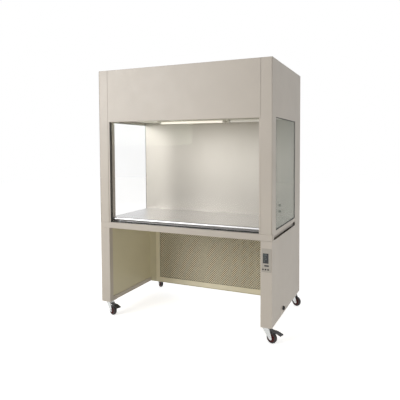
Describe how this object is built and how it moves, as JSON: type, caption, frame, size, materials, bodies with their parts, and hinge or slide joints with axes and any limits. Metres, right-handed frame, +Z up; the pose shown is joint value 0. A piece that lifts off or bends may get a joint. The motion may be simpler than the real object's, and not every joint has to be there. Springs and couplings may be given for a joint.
{
  "type": "laminar flow hood",
  "caption": "Double-width vertical laminar flow clean bench on swivel casters: glazed chamber under a tall filter header, sliding front sash, stainless worktop and perforated air intake.",
  "frame": {"origin": "on the floor, under the middle of the cabinet's footprint", "axes": "+Z up, the front with the sash faces -Y, +X towards the leg with the control panel"},
  "size_m": [1.4322, 0.7959, 1.858],
  "materials": {
    "cream_paint": "satin powder coat",
    "galvanised_steel": "galvanised",
    "stainless_steel": "brushed",
    "clear_glass": "clear",
    "black_rubber": "matte",
    "black_plastic": "matte",
    "prefilter_fleece": "fleece",
    "filter_paper": "matte",
    "screen_mesh": "satin",
    "white_lamp": "opal",
    "clear_tube": "clear",
    "white_plastic": "gloss",
    "motor_metal": "cast",
    "panel_grey": "satin",
    "display_black": "gloss",
    "board_green": "matte",
    "zinc_steel": "zinc plated",
    "wheel_rubber": "matte"
  },
  "bodies": {
    "cabinet": {"back_screws": "zinc_steel", "blower_deck": "galvanised_steel", "blower_housings": "galvanised_steel", "blower_motors": "motor_metal", "bottom_rails": "cream_paint", "cable_gland": "black_plastic", "caster_plates": "zinc_steel", "ceiling_pan": "cream_paint", "chamber_rear_wall": "stainless_steel", "control_board": "board_green", "control_plate": "panel_grey", "diffuser_screen": "screen_mesh", "display_windows": "display_black", "fluorescent_tube": "white_lamp", "frame_rails": "cream_paint", "front_rail": "cream_paint", "glass_gaskets": "black_rubber", "grille_frame": "cream_paint", "header_panel": "cream_paint", "hepa_filter": "filter_paper", "intake_grille": "cream_paint", "lamp_fixture": "white_plastic", "left_inner_panel": "cream_paint", "left_leg_shell": "cream_paint", "left_post": "cream_paint", "left_sash_track": "black_plastic", "left_side_glass": "clear_glass", "left_side_panel": "cream_paint", "lower_back_panel": "cream_paint", "plenum_floor": "galvanised_steel", "plenum_front": "cream_paint", "prefilter": "prefilter_fleece", "right_inner_panel": "cream_paint", "right_leg_shell": "cream_paint", "right_post": "cream_paint", "right_sash_track": "black_plastic", "right_side_glass": "clear_glass", "right_side_panel": "cream_paint", "top_cover": "cream_paint", "ultraviolet_tube": "clear_tube", "upper_back_panel": "cream_paint", "wall_plugs": "black_plastic", "worktop": "stainless_steel"},
    "sash": {"sash_glass": "clear_glass", "sash_seal": "black_rubber"},
    "left_blower_wheel": {"left_impeller": "motor_metal"},
    "right_blower_wheel": {"right_impeller": "motor_metal"},
    "button_1_cap": {"button_1": "black_plastic"},
    "button_2_cap": {"button_2": "black_plastic"},
    "button_3_cap": {"button_3": "black_plastic"},
    "front_left_caster": {"front_left_fork": "zinc_steel"},
    "front_left_wheel_body": {"front_left_wheel": "wheel_rubber"},
    "front_left_pedal": {"front_left_brake_pedal": "zinc_steel"},
    "front_right_caster": {"front_right_fork": "zinc_steel"},
    "front_right_wheel_body": {"front_right_wheel": "wheel_rubber"},
    "front_right_pedal": {"front_right_brake_pedal": "zinc_steel"},
    "rear_left_caster": {"rear_left_fork": "zinc_steel"},
    "rear_left_wheel_body": {"rear_left_wheel": "wheel_rubber"},
    "rear_right_caster": {"rear_right_fork": "zinc_steel"},
    "rear_right_wheel_body": {"rear_right_wheel": "wheel_rubber"}
  },
  "joints": [
    {"name": "sash_slide", "type": "slide", "parent": "cabinet", "child": "sash", "axis": [0, 0, 1], "range_m": [0, 0.33]},
    {"name": "left_blower_spin", "type": "hinge", "parent": "cabinet", "child": "left_blower_wheel", "pos_m": [-0.33, 0.29, 0.5235], "axis": [1, 0, 0], "continuous": true},
    {"name": "right_blower_spin", "type": "hinge", "parent": "cabinet", "child": "right_blower_wheel", "pos_m": [0.33, 0.29, 0.5235], "axis": [1, 0, 0], "continuous": true},
    {"name": "button_1_press", "type": "slide", "parent": "cabinet", "child": "button_1_cap", "axis": [0, 1, 0], "range_m": [0, 0.0015], "stiffness_N_per_m": 600},
    {"name": "button_2_press", "type": "slide", "parent": "cabinet", "child": "button_2_cap", "axis": [0, 1, 0], "range_m": [0, 0.0015], "stiffness_N_per_m": 600},
    {"name": "button_3_press", "type": "slide", "parent": "cabinet", "child": "button_3_cap", "axis": [0, 1, 0], "range_m": [0, 0.0015], "stiffness_N_per_m": 600},
    {"name": "front_left_swivel", "type": "hinge", "parent": "cabinet", "child": "front_left_caster", "pos_m": [-0.636, -0.346, 0.096], "axis": [0, 0, 1], "continuous": true},
    {"name": "front_left_roll", "type": "hinge", "parent": "front_left_caster", "child": "front_left_wheel_body", "pos_m": [-0.60217, -0.35831, 0.0375], "axis": [0.342, 0.9397, 0], "continuous": true},
    {"name": "front_left_brake", "type": "hinge", "parent": "front_left_caster", "child": "front_left_pedal", "pos_m": [-0.61533, -0.35352, 0.084], "axis": [-0.342, -0.9397, 0], "range_deg": [0, 14]},
    {"name": "front_right_swivel", "type": "hinge", "parent": "cabinet", "child": "front_right_caster", "pos_m": [0.636, -0.346, 0.096], "axis": [0, 0, 1], "continuous": true},
    {"name": "front_right_roll", "type": "hinge", "parent": "front_right_caster", "child": "front_right_wheel_body", "pos_m": [0.67024, -0.35712, 0.0375], "axis": [0.309, 0.9511, 0], "continuous": true},
    {"name": "front_right_brake", "type": "hinge", "parent": "front_right_caster", "child": "front_right_pedal", "pos_m": [0.65692, -0.3528, 0.084], "axis": [-0.309, -0.9511, 0], "range_deg": [0, 14]},
    {"name": "rear_left_swivel", "type": "hinge", "parent": "cabinet", "child": "rear_left_caster", "pos_m": [-0.636, 0.346, 0.096], "axis": [0, 0, 1], "continuous": true},
    {"name": "rear_left_roll", "type": "hinge", "parent": "rear_left_caster", "child": "rear_left_wheel_body", "pos_m": [-0.60651, 0.32535, 0.0375], "axis": [0.5736, 0.8192, 0], "continuous": true},
    {"name": "rear_right_swivel", "type": "hinge", "parent": "cabinet", "child": "rear_right_caster", "pos_m": [0.636, 0.346, 0.096], "axis": [0, 0, 1], "continuous": true},
    {"name": "rear_right_roll", "type": "hinge", "parent": "rear_right_caster", "child": "rear_right_wheel_body", "pos_m": [0.66983, 0.33369, 0.0375], "axis": [0.342, 0.9397, 0], "continuous": true}
  ]
}
